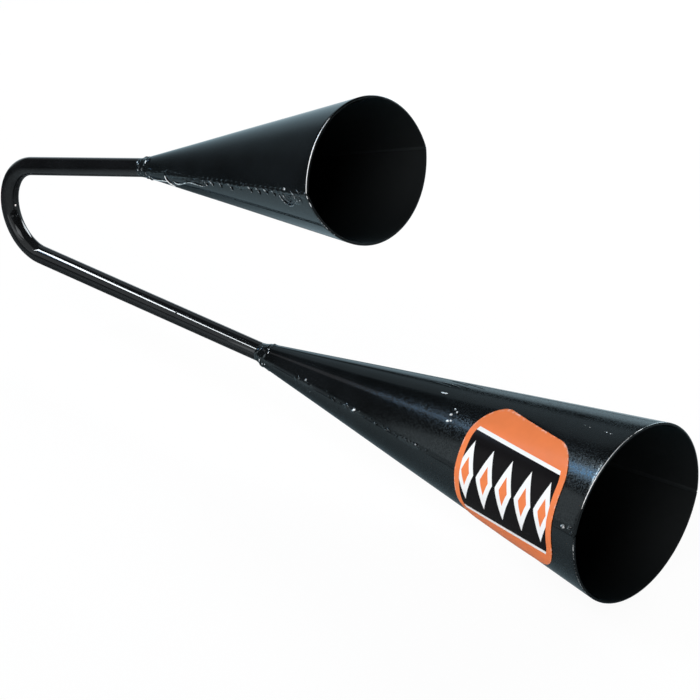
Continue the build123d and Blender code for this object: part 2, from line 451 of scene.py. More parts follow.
class Bell:
    """A bell on its own axes: stations along it, across to the far seam, and up.

    Each of its sections is two arcs that meet at the seams.
    """

    def __init__(self, neck, axis, far_seam, length, mouth):
        self.neck, self.axis, self.far_seam = (np.array(v, float) for v in (neck, axis, far_seam))
        self.up = np.cross(self.axis, self.far_seam)
        self.length = length
        self.half_width, self.half_height = mouth[0] / 2, mouth[1] / 2
        self.tip = -NECK_RADIUS * length / (self.half_height - NECK_RADIUS)
        self.rim_reach = hypot(length - self.tip, self.half_height)

    def place(self, station, across, rise):
        """Points in the part's frame."""
        station, across, rise = np.broadcast_arrays(station, across, rise)
        return (
            self.neck
            + station[..., None] * self.axis
            + across[..., None] * self.far_seam
            + rise[..., None] * self.up
        )

    def seam_reach(self, station):
        """Half width of the section, from the axis to a seam."""
        return NECK_RADIUS + (self.half_width - NECK_RADIUS) * station / self.length

    def crown_reach(self, station):
        """Half height of the section, from the axis to the middle of an arc."""
        return NECK_RADIUS + (self.half_height - NECK_RADIUS) * station / self.length

    def arc_radius(self, station):
        """Radius of the section's two arcs."""
        half_width, half_height = self.seam_reach(station), self.crown_reach(station)
        return (half_width**2 + half_height**2) / (2 * half_height)

    def arc(self, station, sweep, layer):
        """Across and rise on the arc of one section; sweep is -1 at the near seam and 1 at the far one."""
        radius = self.arc_radius(station)
        centre = self.crown_reach(station) - radius
        angle = sweep * np.arccos(-centre / (radius + layer))
        return (radius + layer) * np.sin(angle), centre + (radius + layer) * np.cos(angle)

    def sheet(self, station, sweep, layer):
        """Across and rise on the rolled sheet, which is straight from neck to mouth."""
        end = self.length + BLANK_OVERRUN
        pairs = zip(self.arc(0.0, sweep, layer), self.arc(end, sweep, layer))
        return tuple(narrow + (wide - narrow) * station / end for narrow, wide in pairs)

    def seam_sweep(self, station, layer):
        """Sweep at which a half stops, half a gap short of the seam."""
        low, high = np.full(np.shape(station), 0.5), np.ones(np.shape(station))
        for _ in range(SEAM_HALVINGS):
            middle = (low + high) / 2
            above = self.sheet(station, middle, layer)[1] > SEAM_GAP / 2
            low, high = np.where(above, middle, low), np.where(above, high, middle)
        return low

    def beside_seam(self, side, station, offset, height):
        """Points `height` off the sheet and `offset` up along it from a seam; side is -1 near, 1 far."""
        radius = self.arc_radius(station)
        girth = radius * np.arccos(1 - self.crown_reach(station) / radius)
        across, rise = self.sheet(station, side * (1 - np.abs(offset) / girth), height)
        return self.place(station, across, np.sign(offset) * rise)

    def rim_station(self, sweep, layer):
        """Station of the mouth's edge, an arc about the cone's tip."""
        across, rise = self.sheet(0.0, sweep, layer)
        across_end, rise_end = self.sheet(1.0, sweep, layer)
        across_slope, rise_slope = across_end - across, rise_end - rise
        a = 1 + across_slope**2 + rise_slope**2
        b = 2 * (across * across_slope + rise * rise_slope - self.tip)
        c = self.tip**2 + across**2 + rise**2 - self.rim_reach**2
        return (-b + np.sqrt(b * b - 4 * a * c)) / (2 * a)


def grid_faces(rows, columns, wrap_rows=False, wrap_columns=False, start=0):
    """Quads over a grid of points, joined round where it wraps."""
    r = np.arange(rows if wrap_rows else rows - 1)[:, None]
    c = np.arange(columns if wrap_columns else columns - 1)[None, :]
    r_next, c_next = (r + 1) % rows, (c + 1) % columns
    corners = [r * columns + c, r * columns + c_next, r_next * columns + c_next, r_next * columns + c]
    quads = np.stack([np.broadcast_to(k, (r.size, c.size)) for k in corners], -1).reshape(-1, 4)
    return (quads + start).tolist()


def slab(outer, inner):
    """Closed sheet between two grids of points of the same shape."""
    rows, columns = outer.shape[:2]
    size = rows * columns
    faces = grid_faces(rows, columns) + grid_faces(rows, columns, start=size)
    edge = np.concatenate(
        [
            np.arange(columns),
            np.arange(1, rows) * columns + columns - 1,
            size - 2 - np.arange(columns - 1),
            (rows - 2 - np.arange(rows - 2)) * columns,
        ]
    )
    for a, b in zip(edge, np.roll(edge, -1)):
        faces.append([int(a), int(b), int(b + size), int(a + size)])
    return np.concatenate([outer.reshape(-1, 3), inner.reshape(-1, 3)]), faces


def tube(rings):
    """Closed tube through rings of points, with a flat cap at each end."""
    rows, columns = rings.shape[:2]
    faces = grid_faces(rows, columns, wrap_columns=True)
    faces.append(list(range(columns)))
    faces.append(list(range((rows - 1) * columns, rows * columns)))
    return rings.reshape(-1, 3), faces


def merge(parts):
    """One list of points and faces from several closed forms."""
    points, faces, start = [], [], 0
    for part_points, part_faces in parts:
        points.append(part_points)
        faces += [[k + start for k in face] for face in part_faces]
        start += len(part_points)
    return np.concatenate(points), faces


def blob(surface, middle, halves, height, lean, rings=0.0):
    """Closed low dome on a surface(along, across, height), turned by lean degrees; rings ripples its top."""
    turns = round_turns(DROP_SIDES)[None, :]
    under = np.linspace(DROP_CORE, 1, DROP_RINGS_UNDER)[:, None]
    over = np.linspace(DROP_SHOULDER, DROP_CORE, DROP_RINGS_OVER)[:, None]
    reach = np.concatenate([under, over])
    ripple = np.cos(2 * np.pi * DROP_RIPPLES * over + 2 * turns)
    top = height * np.sqrt(1 - over**2) * (1 + rings * ripple)
    heights = np.concatenate([np.full((len(under), DROP_SIDES), -DROP_SINK), top])
    wobble = 1 + sum(share * np.sin(count * turns + (count - 1) * middle[0]) for count, share in DROP_LOBES)
    u, v = halves[0] * reach * wobble * np.cos(turns), halves[1] * reach * wobble * np.sin(turns)
    lean_cos, lean_sin = cos(radians(lean)), sin(radians(lean))
    along = middle[0] + u * lean_cos - v * lean_sin
    across = middle[1] + u * lean_sin + v * lean_cos
    return tube(surface(along, across, heights))


def trickle(surface, path, half_width, height):
    """Closed low ridge along a smooth line through points (along, across) of a surface, thin at both ends."""
    knots = np.array(path, float)
    run = np.concatenate([[0], np.cumsum(np.hypot(*np.diff(knots, axis=0).T))])
    steps = np.linspace(0, run[-1], int(run[-1] / TRICKLE_STEP) + TRICKLE_LEAST_RINGS)
    along, across = (np.polyval(np.polyfit(run, knots[:, k], len(run) - 1), steps) for k in (0, 1))
    heading = np.arctan2(np.gradient(across), np.gradient(along))[:, None]
    ends = (2 * steps / run[-1] - 1) ** TRICKLE_BLUNTNESS
    thin = np.sqrt(np.clip(1 - ends, THINNEST, 1))[:, None]
    turns = round_turns(TRICKLE_SIDES)[None, :]
    sideways, up = half_width * thin * np.cos(turns), np.sin(turns)
    heights = np.where(up > 0, height * thin * up, DROP_SINK * up)
    along = along[:, None] - np.sin(heading) * sideways
    across = across[:, None] + np.cos(heading) * sideways
    return tube(surface(along, across, heights))


class Nodes:
    """A material's or the world's node tree, with short ways to add and join nodes."""

    def __init__(self, owner, shader="Principled BSDF"):
        self.tree = owner.node_tree
        self.shader = self.tree.nodes[shader]

    def add(self, kind, inputs=None, **settings):
        """New node with its settings and its inputs, by name or place."""
        node = self.tree.nodes.new("ShaderNode" + kind)
        for name, value in settings.items():
            setattr(node, name, value)
        self.feed(node, inputs or {})
        return node

    def feed(self, node, inputs):
        """Link other nodes' outputs to a node's inputs, or set plain values there."""
        for name, value in inputs.items():
            if isinstance(value, bpy.types.NodeSocket):
                self.tree.links.new(value, node.inputs[name])
            else:
                node.inputs[name].default_value = value

    def noise(self, scale, detail=2.0, roughness=0.5):
        """Noise over the part's own coordinates; scale is in features per metre."""
        place = self.add("TexCoord").outputs["Object"]
        inputs = {"Vector": place, "Scale": scale, "Detail": detail, "Roughness": roughness}
        return self.add("TexNoise", inputs).outputs["Fac"]

    def math(self, operation, a, b=0.0):
        """Result of one operation on two numbers."""
        return self.add("Math", {0: a, 1: b}, operation=operation).outputs[0]

    def remap(self, value, low, high, to_low=0.0, to_high=1.0):
        """Smooth step from one value to another over a range."""
        inputs = {"Value": value, "From Min": low, "From Max": high, "To Min": to_low, "To Max": to_high}
        return self.add("MapRange", inputs, interpolation_type="SMOOTHSTEP").outputs["Result"]

    def mix(self, share, a, b):
        """Colour between two colours, which a Mix node takes at 6 and 7."""
        return self.add("Mix", {0: share, 6: a, 7: b}, data_type="RGBA").outputs[2]

    def blend(self, share, a, b):
        """Number between two numbers, which a Mix node takes at 2 and 3."""
        return self.add("Mix", {0: share, 2: a, 3: b}, data_type="FLOAT").outputs[0]

    def relief(self, height, strength, depth):
        """Normal of a surface that a height roughens; depth is in metres."""
        inputs = {"Height": height, "Strength": strength, "Distance": depth}
        return self.add("Bump", inputs).outputs["Normal"]

    def attribute(self, name, output="Fac"):
        """Value that the mesh keeps per point."""
        return self.add("Attribute", attribute_name=name).outputs[output]


def add_object(name, data):
    """New object in the scene."""
    new = bpy.data.objects.new(name, data)
    bpy.context.scene.collection.objects.link(new)
    return new


def new_material(name):
    """Material with a Principled shader, and its nodes."""
    material = bpy.data.materials.new(name)
    material.use_nodes = True
    return material, Nodes(material)


def make_paint(paint):
    """Black enamel on steel: cloudy tone, dust, orange peel, and bare metal where the mesh's wear is high.

    Where the mesh's grain is high the gloss is speckled, and where its inside is 1 the paint is dull. The
    bare metal is real wear and also painted highlights and glints.
    """
    material, nodes = new_material(paint.slot)
    inside, grain = nodes.attribute("inside"), nodes.attribute("grain")
    clouds = nodes.noise(*CLOUD_NOISE)
    dust = nodes.remap(nodes.noise(*DUST_NOISE), *DUST)
    scuff = nodes.math("SUBTRACT", nodes.noise(*SCUFF_NOISE), SCUFF_MIDDLE)
    scuff = nodes.math("MULTIPLY", scuff, SCUFF_STRENGTH)
    # Wear from the mesh: real wear, and painted highlights and glints, both shown as bright bare steel
    wear = nodes.remap(nodes.math("ADD", nodes.attribute("wear"), scuff), *WEAR_AND_HIGHLIGHT_RANGE)

    colour = nodes.mix(nodes.remap(clouds, *CLOUD_FADED), paint.tone, paint.faded)
    colour = nodes.mix(dust, colour, (*(DUST_PALENESS * c for c in paint.faded[:3]), 1))
    colour = nodes.mix(inside, colour, INSIDE_TONE)
    colour = nodes.mix(wear, colour, WORN_STEEL_AND_HIGHLIGHT)

    rough = nodes.remap(clouds, *CLOUD_ROUGHNESS)
    rough = nodes.math("MULTIPLY", rough, nodes.remap(grain, 0, 1, *paint.roughness))
    rough = nodes.math("ADD", rough, nodes.math("MULTIPLY", dust, DUST_ROUGHNESS))
    speckle = nodes.remap(nodes.noise(*SPECKLE_NOISE), *SPECKLE_ROUGHNESS)
    rough = nodes.math("ADD", rough, nodes.math("MULTIPLY", nodes.remap(grain, *SPECKLE_GRAIN), speckle))
    rough = nodes.math("MAXIMUM", rough, nodes.math("MULTIPLY", wear, WORN_AND_HIGHLIGHT_ROUGHNESS))
    rough = nodes.math("MAXIMUM", rough, nodes.math("MULTIPLY", inside, INSIDE_ROUGHNESS))

    fine_peel = nodes.math("MULTIPLY", nodes.noise(*FINE_PEEL_NOISE), FINE_PEEL_SHARE)
    peel = nodes.math("ADD", nodes.noise(paint.peel_scale), fine_peel)
    strength = nodes.remap(grain, 0, 1, *paint.peel_strength)
    inputs = {
        "Base Color": colour,
        "Roughness": rough,
        "Metallic": nodes.math("MULTIPLY", wear, WORN_AND_HIGHLIGHT_METALLIC),
        "Normal": nodes.relief(peel, strength, paint.peel_depth),
        "IOR": paint.ior,
        "Coat Weight": 1.0,
        "Coat IOR": COAT_IOR,
        "Coat Roughness": paint.roughness[0],
        "Coat Tint": paint.coat_tint,
    }
    nodes.feed(nodes.shader, inputs)
    return material


def make_label_vinyl():
    """Gloss print in faded inks, scuffed at its edge: an orange field crossed by a black band of lozenges.

    The mesh's print holds the place along and across from the label's middle, and the inset from its edge.
    """
    material, nodes = new_material("label_vinyl")
    place = nodes.add("SeparateXYZ", {"Vector": nodes.attribute("print", "Vector")})
    along, across, inset = (place.outputs[k] for k in "XYZ")
    fade = nodes.remap(nodes.noise(*INK_NOISE), *INK_RANGE)
    field = nodes.mix(fade, LABEL_ORANGE, (*(INK_FADED * c for c in LABEL_ORANGE[:3]), 1))
    reach = nodes.math("ABSOLUTE", across)
    from_middle = nodes.math("PINGPONG", along, LOZENGE_PITCH / 2)
    share_along = nodes.math("DIVIDE", from_middle, LOZENGE_PITCH / 2)
    share_across = nodes.math("DIVIDE", reach, LOZENGE_HALF_HEIGHT)
    lozenge = nodes.math("ADD", share_along, share_across)
    figure = nodes.mix(nodes.math("LESS_THAN", lozenge, LOZENGE_FILLED), LABEL_WHITE, field)
    figure = nodes.mix(nodes.math("LESS_THAN", lozenge, LOZENGE_EDGED), LABEL_BLACK, figure)
    colour = nodes.mix(nodes.math("LESS_THAN", reach, BAND_HALF_HEIGHT), field, figure)
    lines = nodes.math("COMPARE", reach, BAND_HALF_HEIGHT)
    lines.node.inputs[2].default_value = BAND_LINE / 2
    colour = nodes.mix(lines, colour, LABEL_WHITE)
    colour = nodes.mix(nodes.math("LESS_THAN", inset, LABEL_BORDER), colour, field)
    scuff = nodes.remap(nodes.noise(*LABEL_SCUFF_NOISE), *LABEL_SCUFF)
    scuff = nodes.math("MULTIPLY", scuff, nodes.remap(inset, 0.0, LABEL_WORN_EDGE, 1.0, 0.0))
    colour = nodes.mix(scuff, colour, LABEL_WHITE)
    inputs = {
        "Base Color": colour,
        "Roughness": nodes.remap(fade, 0, 1, *LABEL_ROUGHNESS),
        "Normal": nodes.relief(nodes.noise(*LABEL_PEEL_NOISE), *LABEL_PEEL),
        "IOR": LABEL_IOR,
    }
    nodes.feed(nodes.shader, inputs)
    return material


materials = {paint.slot: make_paint(paint) for paint in (HANDLE_PAINT, BELL_PAINT, WELD_PAINT)}
materials["label_vinyl"] = make_label_vinyl()


def make_piece(node, form, slot, **attributes):
    """Mesh object that stands for a node, with values per point that its material reads."""
    points, faces = form
    mesh = bpy.data.meshes.new(node + "_finish")
    mesh.from_pydata(points * MM, [], faces)
    work = bmesh.new()
    work.from_mesh(mesh)
    bmesh.ops.recalc_face_normals(work, faces=work.faces)
    work.to_mesh(mesh)
    work.free()
    mesh.shade_smooth()
    mesh.set_sharp_from_angle(angle=SHARP_ANGLE)
    for name, values in attributes.items():
        values = np.asarray(values, np.float32)
        vector = values.ndim == 2
        attribute = mesh.attributes.new(name, "FLOAT_VECTOR" if vector else "FLOAT", "POINT")
        attribute.data.foreach_set("vector" if vector else "value", values.ravel())
    mesh.materials.append(materials[slot])
    piece = add_object(node + "_finish", mesh)
    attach(piece, "root")
    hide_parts(node)


# The handle's path and the two bells, from the same sizes as the solids
spread_cos, spread_sin = cos(ARM_SPREAD), sin(ARM_SPREAD)
large_neck = LARGE_ARM_LENGTH / 2 * ALONG
bend_centre = -LARGE_ARM_LENGTH / 2 * ALONG + BEND_RADIUS * UP
small_axis = np.array([spread_cos, 0, spread_sin])
small_normal = np.array([-spread_sin, 0, spread_cos])
bend_end = bend_centre + BEND_RADIUS * small_normal
small_neck = bend_end + small_axis * SMALL_ARM_LENGTH
small_bell = Bell(small_neck, small_axis, FAR, SMALL_BELL_LENGTH, SMALL_MOUTH)
lean_cos, lean_sin = cos(LARGE_BELL_LEAN), sin(LARGE_BELL_LEAN)
turn_cos, turn_sin = cos(LARGE_BELL_TURN), sin(LARGE_BELL_TURN)
large_axis = (lean_cos, 0, lean_sin)
large_far_seam = (turn_sin * lean_sin, turn_cos, -turn_sin * lean_cos)
large_bell = Bell(large_neck, large_axis, large_far_seam, LARGE_BELL_LENGTH, LARGE_MOUTH)


def rod_surface(along, around, height):
    """Points on the bend and the long arm, `height` off the rod.

    They are `along` past the bend's start, and `around` from the rod's inner side, + far.
    """
    angle, turn = np.clip(along, 0, None) / BEND_RADIUS, np.pi - around / ROD_RADIUS
    outward = np.stack([-np.sin(angle), 0 * angle, -np.cos(angle)], -1)
    straight = np.clip(-along, 0, None)[..., None] * ALONG
    off_axis = np.cos(turn)[..., None] * outward + np.sin(turn)[..., None] * FAR
    return bend_centre + straight + BEND_RADIUS * outward + (ROD_RADIUS + height)[..., None] * off_axis


def make_rod():
    """Bent rod as rings along its path, with drops of paint, and the wear of its points, with a painted
    glint.
    """
    radius = ROD_RADIUS - INSET
    bend_angle = pi - ARM_SPREAD
    long_run = np.arange(0, LARGE_ARM_LENGTH + ROD_INSERTION, ROD_STEP)
    bend_run = np.linspace(0, bend_angle, int(bend_angle * BEND_RADIUS / BEND_STEP))
    short_run = np.arange(0, SMALL_ARM_LENGTH + ROD_INSERTION, ROD_STEP)
    long_end = large_neck + ROD_INSERTION * ALONG
    short_end = small_neck + ROD_INSERTION * small_axis
    # Each ring: centre, outward normal in the handle's plane, radius
    rings = [(long_end, -UP, radius - ROD_END_CHAMFER)]
    rings.append((long_end - ROD_END_CHAMFER * ALONG, -UP, radius))
    rings += [(long_end - run * ALONG, -UP, radius) for run in long_run[1:]]
    for angle in bend_run:
        outward = np.array([-sin(angle), 0, -cos(angle)])
        rings.append((bend_centre + BEND_RADIUS * outward, outward, radius))
    rings += [(bend_end + run * small_axis, small_normal, radius) for run in short_run[1:]]
    rings.append((short_end - ROD_END_CHAMFER * small_axis, small_normal, radius))
    rings.append((short_end, small_normal, radius - ROD_END_CHAMFER))
    turns = round_turns(ROD_SIDES)[:, None]
    points = [
        centre + reach * (np.cos(turns) * outward + np.sin(turns) * FAR) for centre, outward, reach in rings
    ]
    forms = [tube(np.array(points))] + [blob(rod_surface, *drop[:-1]) for drop in ROD_DROPS]
    # One drop's wear paints a glint on it
    highlight_wear = [0.0] + [drop[-1] for drop in ROD_DROPS]
    wear = np.concatenate([np.full(len(form[0]), amount) for form, amount in zip(forms, highlight_wear)])
    return merge(forms), wear


def make_shell(bell, side, seed, highlight_wear):
    """Uneven rolled half of a bell with a rounded mouth edge; its points' wear, painted highlight and inside.
    """
    columns = np.linspace(-1, 1, SHELL_COLUMNS)[None, :]
    shares = np.linspace(0, 1, int(bell.length / SHELL_ROW_STEP))[:, None]

    def surface(depth, curl, edge_round):
        rounding = edge_round * (1 - np.cos(EDGE_ANGLES))
        setback = edge_round * (1 - np.sin(EDGE_ANGLES))
        sweep = columns * bell.seam_sweep(bell.length * np.ones((1, 1)), -depth)
        rim = bell.rim_station(sweep, -depth) - INSET
        station = np.concatenate([(rim - edge_round) * shares, rim - setback])
        layer = np.concatenate([np.full_like(shares, -depth), -depth - curl * rounding])
        sweep = columns * bell.seam_sweep(np.clip(station[:, :1], 0, None), -depth)
        fade = np.clip((station - DENT_START) / DENT_FADE, 0, 1) * (1 - columns**DENT_SEAM_POWER)
        waves = smooth_noise(station / DENT_LENGTH, columns * DENT_SWEEP, seed, DENT_OCTAVES)
        across, rise = bell.sheet(station, sweep, layer - DENT_DEPTH * fade * (0.5 + 0.5 * waves))
        return bell.place(station, across, side * rise)

    outer, inner = surface(0.0, 1.0, RIM_ROUND_OUTSIDE), surface(SHEET, -1.0, RIM_ROUND_INSIDE)
    # Painted highlight spots along the rim, on top of the wear all round it
    spots = sum(strength * bump(columns[0] - at, reach) for at, reach, strength in highlight_wear)
    along_edge = np.concatenate([np.zeros(len(shares)), RIM_WEAR_AND_HIGHLIGHT])
    wear = (along_edge[:, None] * (RIM_WORN_ALL_ROUND + spots)).ravel()
    inside = np.concatenate([np.zeros_like(wear), np.ones_like(wear)])
    return slab(outer, inner), np.concatenate([wear, np.zeros_like(wear)]), inside


def make_seam(look, side, metal, seed):
    """Weld bead along a seam, rippled at each stitch, with raised tacks, and metal dropped and run beside it.

    Gives its points' wear, which paints glints on drops and a highlight along trickles' crests, and inside
    too, and grimy grooves count as inside. The bead dips by up to twice the look's sink, but no further below
    the sheet than the deepest groove.
    """
    bell = look.bell
    end = float(bell.rim_station(np.array(1.0), 0.0)) - BEAD_TO_RIM
    stations = np.linspace(0, end, int(end / BEAD_STEP))[:, None]
    turns = round_turns(BEAD_SIDES)[None, :]
    outside = np.clip(np.cos(turns), 0, 1)
    ripple = np.sin((stations + RIPPLE_LAG * look.stitch * np.sin(turns)) * 2 * np.pi / look.stitch)
    rough = smooth_noise(stations * ROUGH_SCALE[0], ROUGH_SCALE[1] * np.sin(turns), seed, ROUGH_OCTAVES)
    body = smooth_noise(stations * BODY_SCALE, 0 * turns, seed + 1)

    def uneven(mix):
        mean, by_body, by_ripple, by_rough = mix
        return mean + by_body * body + by_ripple * ripple + by_rough * rough

    rise = look.crown * uneven(CROWN_MIX) + look.sink * np.minimum(body - 1, 0)
    rise = np.maximum(rise, -DEEPEST_GROOVE)
    width = SEAM_BEAD_WIDTH / 2 * uneven(WIDTH_MIX)
    shift = np.zeros_like(stations)
    for at, half_length, height, extra, up in metal.tacks:
        share = bump(stations - at, half_length)
        rise = rise + share * height * uneven(TACK_RISE_MIX)
        width = width + share * extra * uneven(TACK_WIDTH_MIX)
        shift = shift + share * up
    taper = np.sqrt(np.clip((end - stations) / BEAD_TAPER, THINNEST, 1))
    reach = SHEET / 2 + np.where(outside > 0, rise * outside**BEAD_CROWN_POWER, BEAD_INNER_RISE) * taper
    across = bell.seam_reach(stations) - SHEET / 2 + reach * np.cos(turns)
    forms = [tube(bell.place(stations, side * across, shift + width * taper * np.sin(turns)))]
    wear = [np.zeros(len(forms[0][0]))]
    surface = partial(bell.beside_seam, side)
    # A drop's wear paints a glint on it
    for station, offset, half_length, half_width, height, lean, highlight_wear, *rings in metal.drops:
        forms.append(blob(surface, (station, offset), (half_length, half_width), height, lean, *rings))
        wear.append(np.full(len(forms[-1][0]), highlight_wear))
    # Wear along a trickle's crest paints a highlight there
    crest = np.clip(np.sin(round_turns(TRICKLE_SIDES)), 0, 1)
    for path, half_width, height, highlight_wear in metal.trickles:
        forms.append(trickle(surface, path, half_width, height))
        wear.append(np.tile(highlight_wear * crest, len(forms[-1][0]) // TRICKLE_SIDES))
    wear = np.concatenate(wear)
    inside = np.zeros_like(wear)
    hidden = (np.cos(turns) < BEAD_INNER_SIDE) | (rise < -GRIMY_GROOVE)
    inside[: hidden.size] = hidden.ravel()
    return merge(forms), wear, inside


def make_neck(bell, start, end, glints, seed):
    """Lumpy ring of weld from the rod up on to the bell's narrow end, between two stations, and its wear.

    The random lumps have painted glints as wear where they are high. The glints are lumps in given places
    with their own wear, which paints them.
    """
    stations = np.linspace(start, end, NECK_RINGS)[None, :]
    turns = round_turns(NECK_SIDES)[:, None]
    lumps = np.zeros(np.broadcast(stations, turns).shape)

    def turn_from(where):
        return (turns - where + np.pi) % (2 * np.pi) - np.pi

    rng = np.random.default_rng(seed)
    for _ in range(NECK_LUMPS):
        at, where = rng.uniform(start + LUMP_MARGIN, end - LUMP_MARGIN), rng.uniform(0, 2 * np.pi)
        along, around, lean, height = (rng.uniform(*limits) for limits in LUMP_RANGES)
        gap = turn_from(where)
        lumps = lumps + height * bump(stations - at - lean * gap, along) * bump(gap, around)
    # Painted glints, as wear, on the lumps that are high
    wear = np.clip(lumps / LUMP_GLINT_LIMIT - 1, 0, 1)
    for at, turn, along, around, height, highlight_wear in glints:
        spot = bump(stations - at, along) * bump(turn_from(radians(turn)), around)
        lumps, wear = lumps + height * spot, wear + highlight_wear * spot

    fade = np.sin(np.pi * (stations - start) / (end - start))
    swell = (NECK_CROWN * fade + lumps * fade**0.5) - NECK_FOOT
    climb = np.clip((stations - start) / (NECK_CLIMB_END - start), 0, 1)
    ramp = ROD_RADIUS + (NECK_RADIUS - ROD_RADIUS) * climb**NECK_CLIMB_POWER
    scale = np.where(stations < 0, ramp / NECK_RADIUS, 1.0)
    on_bell = np.clip(stations, 0, None)
    core = np.full(lumps.shape, ROD_RADIUS - NECK_CORE)
    across = np.concatenate([bell.seam_reach(on_bell) * scale + swell, core], 1)
    up = np.concatenate([bell.crown_reach(on_bell) * scale + swell, core], 1)
    stations = np.concatenate([stations, stations[:, ::-1]], 1)
    points = bell.place(stations, across * np.cos(turns), up * np.sin(turns))
    faces = grid_faces(*across.shape, wrap_rows=True, wrap_columns=True)
    return (points.reshape(-1, 3), faces), np.concatenate([wear, 0 * wear], 1).ravel()


def make_label():
    """Printed skin over the large bell's near seam, and its print coordinates: along, across and inset."""
    half_length, half_height = LABEL_LENGTH / 2, LABEL_HEIGHT / 2
    radius = LABEL_CORNER_RADIUS
    straight = half_height - radius
    corner = radius * np.sin(np.radians(np.linspace(0, 90, LABEL_CORNER_ROWS)))[1:]
    upper = np.concatenate([np.arange(0, straight, LABEL_STEP), straight + corner])
    rows = np.concatenate([-upper[:0:-1], upper])[:, None]
    cut = np.clip(np.abs(rows) - straight, 0, None)
    corner_half = np.sqrt(np.clip(radius**2 - cut**2, 0, None))
    row_half = half_length - radius + corner_half
    along = row_half * np.linspace(-1, 1, int(LABEL_LENGTH / LABEL_STEP))[None, :]
    stations = LABEL_STATION + along
    out_across, out_rise = -cos(LABEL_TURN), sin(LABEL_TURN)
    # Both halves of the near side as one run of sweeps, from the outer half's crown to the inner half's
    run = np.linspace(-1, 1, LABEL_SWEEPS)

    def skin(layer):
        across, rise = np.empty_like(stations), np.empty_like(stations)
        for place, station in np.ndenumerate(stations):
            sheet_across, sheet_rise = large_bell.sheet(station, -1 + np.abs(run), layer)
            sheet_rise = np.sign(run) * sheet_rise
            seen_height = sheet_across * out_rise - sheet_rise * out_across
            row = rows[place[0], 0]
            across[place] = np.interp(row, seen_height, sheet_across)
            rise[place] = np.interp(row, seen_height, sheet_rise)
        return large_bell.place(stations, across, rise)

    inset = np.minimum(half_height - np.abs(rows), row_half - np.abs(along))
    corner_gap = np.hypot(np.clip(np.abs(along) - half_length + radius, 0, None), cut)
    inset = np.where(corner_gap > 0, np.minimum(inset, radius - corner_gap), inset)
    printed = np.stack([along, rows * np.ones_like(along), np.clip(inset, 0, None)], -1).reshape(-1, 3)
    form = slab(skin(LABEL_GLUE + LABEL_THICKNESS), skin(LABEL_GLUE))
    return form, np.concatenate([printed, printed])


# Looks of the bells: side of the outer half, crown, sink and stitch length of the seam beads, grain at the
# mouth, the neck weld's ends and glints, the rim's painted highlight, and metal along the seams
BellLook = namedtuple(
    "BellLook", "name bell seed outer_side crown sink stitch grain neck glints rim near far"
)
SMALL_LOOK = BellLook(
    name="small_bell",
    bell=small_bell,
    seed=10,
    outer_side=1,
    crown=0.6,
    sink=0.0,
    stitch=4.4,
    grain=0.0,
    neck=(-9.5, 4.0),
    glints=SMALL_NECK_GLINTS,
    rim=SMALL_RIM_HIGHLIGHT,
    near=SMALL_NEAR,
    far=SMALL_FAR,
)
LARGE_LOOK = BellLook(
    name="large_bell",
    bell=large_bell,
    seed=20,
    outer_side=-1,
    crown=0.1,
    sink=0.3,
    stitch=3.1,
    grain=1.0,
    neck=(-5.5, 5.0),
    glints=LARGE_NECK_GLINTS,
    rim=LARGE_RIM_HIGHLIGHT,
    near=LARGE_NEAR,
    far=LARGE_FAR,
)

# Added to a bell's seed for its welds
SEAM_SEED = 4
NECK_SEED = 7

rod_form, rod_wear = make_rod()
make_piece("handle_rod", rod_form, "handle_paint", wear=rod_wear)
for look in (SMALL_LOOK, LARGE_LOOK):
    for half, side in (("outer", look.outer_side), ("inner", -look.outer_side)):
        form, wear, inside = make_shell(look.bell, side, look.seed + side, look.rim[side])
        share_along = (form[0] - look.bell.neck) @ look.bell.axis / look.bell.length
        values = {"wear": wear, "inside": inside, "grain": look.grain * np.clip(share_along, 0, 1)}
        make_piece(f"{look.name}_{half}_shell", form, "bell_paint", **values)
    for seam, side, metal in (("near", -1, look.near), ("far", 1, look.far)):
        form, wear, inside = make_seam(look, side, metal, look.seed + SEAM_SEED + side)
        make_piece(f"{look.name}_{seam}_seam_weld", form, "weld_paint", wear=wear, inside=inside)
    form, wear = make_neck(look.bell, *look.neck, look.glints, look.seed + NECK_SEED)
    make_piece(f"{look.name}_neck_weld", form, "weld_paint", wear=wear)
label_form, label_print = make_label()
make_piece("bell_label", label_form, "label_vinyl", print=label_print)


# Stage, with angles in degrees and sizes in metres. Camera of the photograph's view, its lens in millimetres
CAMERA_AZIMUTH = 42.071
CAMERA_ELEVATION = 26.212
CAMERA_ROLL = 1.69
CAMERA_PLACE = (0.99983, -0.95594, 0.65621)
CAMERA_LENS = 154.29
CAMERA_CLIP = (0.05, 50.0)

# Floor, and how far it is lifted to white where the camera sees it
FLOOR_GAP = 0.0005
FLOOR_RADIUS = 6.0
FLOOR_SIDES = 96
FLOOR_TONE = (0.92, 0.92, 0.92, 1)
FLOOR_ROUGHNESS = 0.9
FLOOR_LIFT = 0.95

# Floor in reflections, a glow with painted levels: tone, and its level over x or y as a range's ends and the
# levels there. In front it fades to a painted dark towards the bend, and behind it is darker as painted
# shade, with more painted shade further back round a middle x
PAINTED_REFLECTION_TONE = (0.93, 0.985, 1.0, 1)
FRONT_BY_X = (-0.33, 0.0, 0.03, 0.72)
FRONT_BY_Y = (-0.1, 0.0, 1.0, 0.78)
BEHIND_BY_X = (-0.085, 0.03, 0.11, 0.45)
SHADE_MIDDLE_X = -0.05
SHADE_BY_X = (0.02, 0.12, 0.12, 0.62)
SHADE_FROM_Y = (0.09, 0.2)
BEHIND_FROM_Y = (-0.005, 0.03)

# Painted shade close under the object in reflections: its level over x, and the lengths of the reflected
# rays over which it ends
CLOSE_BY_X = (0.0, 0.2, 0.15, 0.4)
CLOSE_RAYS = (0.04, 0.1)

